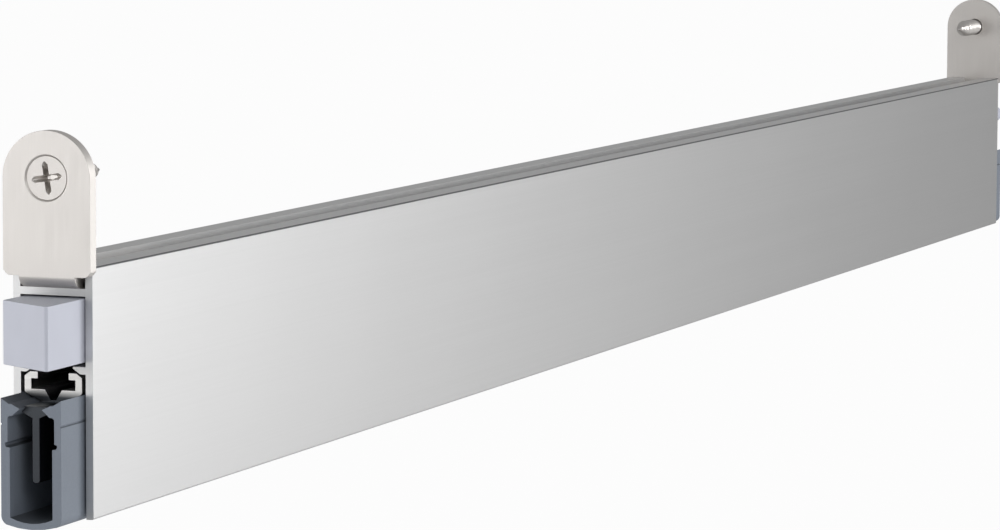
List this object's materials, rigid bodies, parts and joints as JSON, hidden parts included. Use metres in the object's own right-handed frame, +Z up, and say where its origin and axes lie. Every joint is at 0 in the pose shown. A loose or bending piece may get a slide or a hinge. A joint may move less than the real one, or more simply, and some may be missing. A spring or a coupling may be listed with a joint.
{
  "type": "automatic door bottom seal",
  "caption": "Slim aluminium channel for a groove under a door, with end brackets, a push button at one end and a silicone seal that drops when the button is pressed.",
  "frame": {"origin": "middle of the housing channel's top face, which seats against the top of the door's groove", "axes": "+X along the seal away from the push button, +Z up out of the housing's top face, -Y the side shown"},
  "size_m": [0.5545, 0.0142, 0.0592],
  "materials": {
    "anodised_aluminium": "satin, natural anodised",
    "extruded_aluminium": "mill finish, drawn along its length",
    "stainless_sheet": "fine brushed stainless",
    "stainless_screw": "bright stainless",
    "spring_steel": "blued strip",
    "zinc_plated_steel": "bright zinc",
    "zinc_casting": "raw die casting",
    "button_plastic": "moulded, pale blue-grey",
    "slider_plastic": "moulded, black",
    "silicone": "matt grey silicone"
  },
  "bodies": {
    "housing": {"housing_profile": "anodised_aluminium", "near_bracket": "stainless_sheet", "far_bracket": "stainless_sheet", "near_bracket_screw": "stainless_screw", "far_bracket_screw": "stainless_screw", "near_anchor_block": "zinc_casting", "far_anchor_block": "zinc_casting", "near_anchor_rivet": "extruded_aluminium", "far_anchor_rivet": "extruded_aluminium", "near_anchor_pin": "zinc_plated_steel", "far_anchor_pin": "zinc_plated_steel", "near_leaf_spring": "spring_steel", "far_leaf_spring": "spring_steel", "far_end_guide": "button_plastic"},
    "plunger": {"plunger_button": "button_plastic", "plunger_lock_nut": "zinc_plated_steel", "push_rod": "zinc_plated_steel", "near_carriage": "slider_plastic", "far_carriage": "slider_plastic", "near_carriage_screw": "zinc_plated_steel", "far_carriage_screw": "zinc_plated_steel", "near_carriage_pin": "zinc_plated_steel", "far_carriage_pin": "zinc_plated_steel"},
    "carrier": {"carrier_rail": "extruded_aluminium", "seal_profile": "silicone"},
    "hangers": {"near_hanger": "zinc_casting", "far_hanger": "zinc_casting", "near_hanger_rivet": "zinc_plated_steel", "far_hanger_rivet": "zinc_plated_steel"}
  },
  "joints": [
    {"name": "carrier_drop", "type": "slide", "parent": "housing", "child": "carrier", "axis": [0, 0, -1], "range_m": [0, 0.012], "stiffness_N_per_m": 200, "springref_m": -0.02, "deforming": ["near_leaf_spring", "far_leaf_spring"]},
    {"name": "plunger_push", "type": "slide", "parent": "housing", "child": "plunger", "axis": [1, 0, 0], "range_m": [0, 0.006]},
    {"name": "hanger_slide", "type": "slide", "parent": "carrier", "child": "hangers", "axis": [1, 0, 0], "range_m": [0, 0.003]}
  ],
  "couplings": [
    {"joint": "plunger_push", "follows": "carrier_drop", "ratio": 0.5},
    {"joint": "hanger_slide", "follows": "carrier_drop", "ratio": 0.25}
  ]
}
